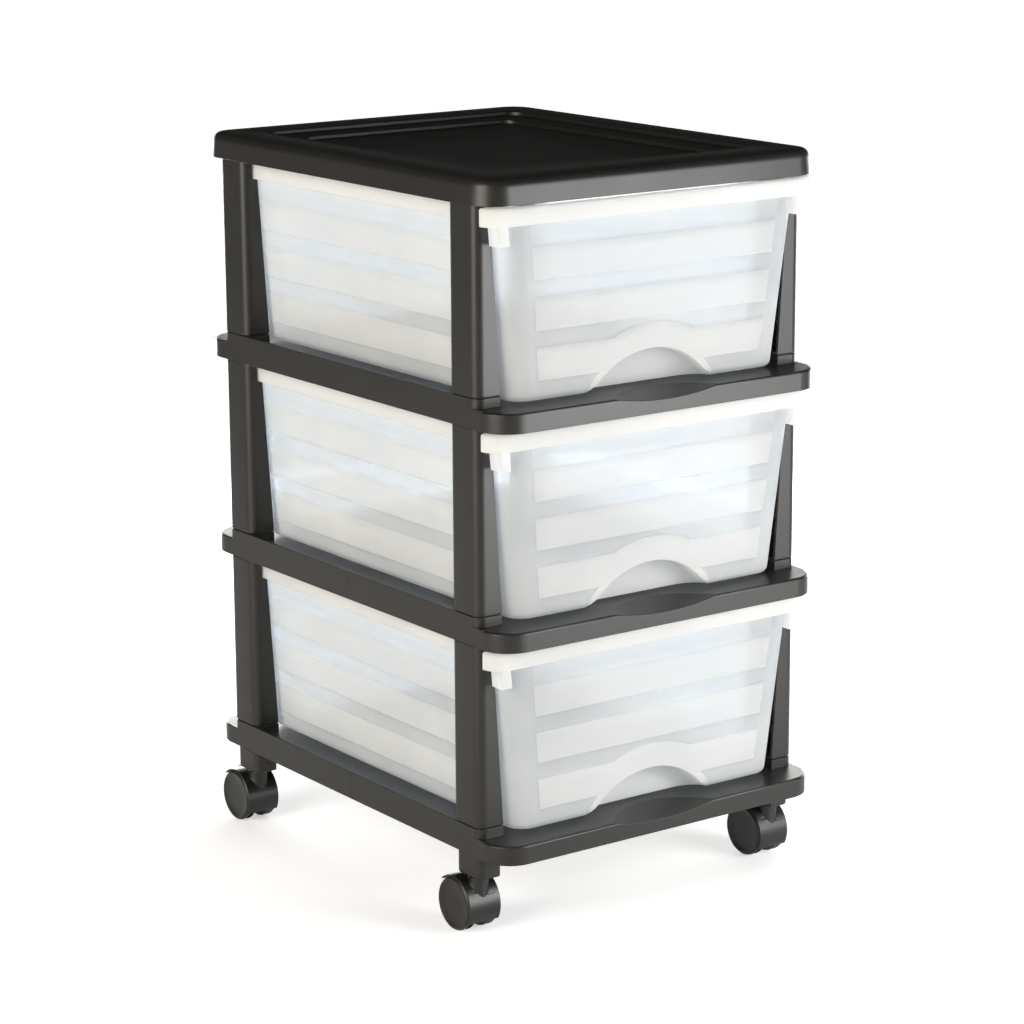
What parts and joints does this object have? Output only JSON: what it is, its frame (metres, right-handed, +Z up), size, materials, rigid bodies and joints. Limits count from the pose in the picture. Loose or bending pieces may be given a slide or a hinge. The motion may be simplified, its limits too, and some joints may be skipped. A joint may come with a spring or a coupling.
{
  "type": "drawer tower",
  "caption": "Rolling plastic drawer tower: translucent drawers hang by their rims between stacked black shelves and posts, under a cover with a shallow tray.",
  "frame": {"origin": "on the floor, under the centre of the tower", "axes": "+X to the right, -Y to the front where the drawers open, +Z up"},
  "size_m": [0.298, 0.393, 0.5445],
  "materials": {
    "black_plastic": "fine matt moulding texture",
    "clear_plastic": "translucent natural polypropylene, frosted inside, with raised bands",
    "caster_plastic": "satin black nylon",
    "steel": "bright zinc"
  },
  "bodies": {
    "frame": {"top_cover": "black_plastic", "upper_shelf": "black_plastic", "lower_shelf": "black_plastic", "base_shelf": "black_plastic", "top_post_front_left": "black_plastic", "top_post_front_right": "black_plastic", "top_post_rear_left": "black_plastic", "top_post_rear_right": "black_plastic", "middle_post_front_left": "black_plastic", "middle_post_front_right": "black_plastic", "middle_post_rear_left": "black_plastic", "middle_post_rear_right": "black_plastic", "bottom_post_front_left": "black_plastic", "bottom_post_front_right": "black_plastic", "bottom_post_rear_left": "black_plastic", "bottom_post_rear_right": "black_plastic", "front_left_socket": "black_plastic", "front_right_socket": "black_plastic", "rear_left_socket": "black_plastic", "rear_right_socket": "black_plastic", "front_left_stem": "steel", "front_right_stem": "steel", "rear_left_stem": "steel", "rear_right_stem": "steel", "front_left_grip_ring": "steel", "front_right_grip_ring": "steel", "rear_left_grip_ring": "steel", "rear_right_grip_ring": "steel"},
    "top_drawer": {"top_drawer": "clear_plastic"},
    "middle_drawer": {"middle_drawer": "clear_plastic"},
    "bottom_drawer": {"bottom_drawer": "clear_plastic"},
    "front_left_caster": {"front_left_hood": "caster_plastic", "front_left_axle": "steel"},
    "front_left_wheel_left": {"front_left_wheel_left": "caster_plastic"},
    "front_left_wheel_right": {"front_left_wheel_right": "caster_plastic"},
    "front_right_caster": {"front_right_hood": "caster_plastic", "front_right_axle": "steel"},
    "front_right_wheel_left": {"front_right_wheel_left": "caster_plastic"},
    "front_right_wheel_right": {"front_right_wheel_right": "caster_plastic"},
    "rear_left_caster": {"rear_left_hood": "caster_plastic", "rear_left_axle": "steel"},
    "rear_left_wheel_left": {"rear_left_wheel_left": "caster_plastic"},
    "rear_left_wheel_right": {"rear_left_wheel_right": "caster_plastic"},
    "rear_right_caster": {"rear_right_hood": "caster_plastic", "rear_right_axle": "steel"},
    "rear_right_wheel_left": {"rear_right_wheel_left": "caster_plastic"},
    "rear_right_wheel_right": {"rear_right_wheel_right": "caster_plastic"}
  },
  "joints": [
    {"name": "top_drawer_slide", "type": "slide", "parent": "frame", "child": "top_drawer", "axis": [0, -1, 0], "range_m": [0, 0.27]},
    {"name": "middle_drawer_slide", "type": "slide", "parent": "frame", "child": "middle_drawer", "axis": [0, -1, 0], "range_m": [0, 0.27]},
    {"name": "bottom_drawer_slide", "type": "slide", "parent": "frame", "child": "bottom_drawer", "axis": [0, -1, 0], "range_m": [0, 0.27]},
    {"name": "front_left_swivel", "type": "hinge", "parent": "frame", "child": "front_left_caster", "pos_m": [-0.1346, -0.1515, 0.04], "axis": [0, 0, 1], "continuous": true},
    {"name": "front_left_wheel_left_spin", "type": "hinge", "parent": "front_left_caster", "child": "front_left_wheel_left", "pos_m": [-0.1436, -0.1389, 0.0198], "axis": [1, 0, 0], "continuous": true},
    {"name": "front_left_wheel_right_spin", "type": "hinge", "parent": "front_left_caster", "child": "front_left_wheel_right", "pos_m": [-0.1256, -0.1389, 0.0198], "axis": [1, 0, 0], "continuous": true},
    {"name": "front_right_swivel", "type": "hinge", "parent": "frame", "child": "front_right_caster", "pos_m": [0.1346, -0.1515, 0.04], "axis": [0, 0, 1], "continuous": true},
    {"name": "front_right_wheel_left_spin", "type": "hinge", "parent": "front_right_caster", "child": "front_right_wheel_left", "pos_m": [0.1256, -0.1389, 0.0198], "axis": [1, 0, 0], "continuous": true},
    {"name": "front_right_wheel_right_spin", "type": "hinge", "parent": "front_right_caster", "child": "front_right_wheel_right", "pos_m": [0.1436, -0.1389, 0.0198], "axis": [1, 0, 0], "continuous": true},
    {"name": "rear_left_swivel", "type": "hinge", "parent": "frame", "child": "rear_left_caster", "pos_m": [-0.1346, 0.1515, 0.04], "axis": [0, 0, 1], "continuous": true},
    {"name": "rear_left_wheel_left_spin", "type": "hinge", "parent": "rear_left_caster", "child": "rear_left_wheel_left", "pos_m": [-0.1436, 0.1641, 0.0198], "axis": [1, 0, 0], "continuous": true},
    {"name": "rear_left_wheel_right_spin", "type": "hinge", "parent": "rear_left_caster", "child": "rear_left_wheel_right", "pos_m": [-0.1256, 0.1641, 0.0198], "axis": [1, 0, 0], "continuous": true},
    {"name": "rear_right_swivel", "type": "hinge", "parent": "frame", "child": "rear_right_caster", "pos_m": [0.1346, 0.1515, 0.04], "axis": [0, 0, 1], "continuous": true},
    {"name": "rear_right_wheel_left_spin", "type": "hinge", "parent": "rear_right_caster", "child": "rear_right_wheel_left", "pos_m": [0.1256, 0.1641, 0.0198], "axis": [1, 0, 0], "continuous": true},
    {"name": "rear_right_wheel_right_spin", "type": "hinge", "parent": "rear_right_caster", "child": "rear_right_wheel_right", "pos_m": [0.1436, 0.1641, 0.0198], "axis": [1, 0, 0], "continuous": true}
  ]
}
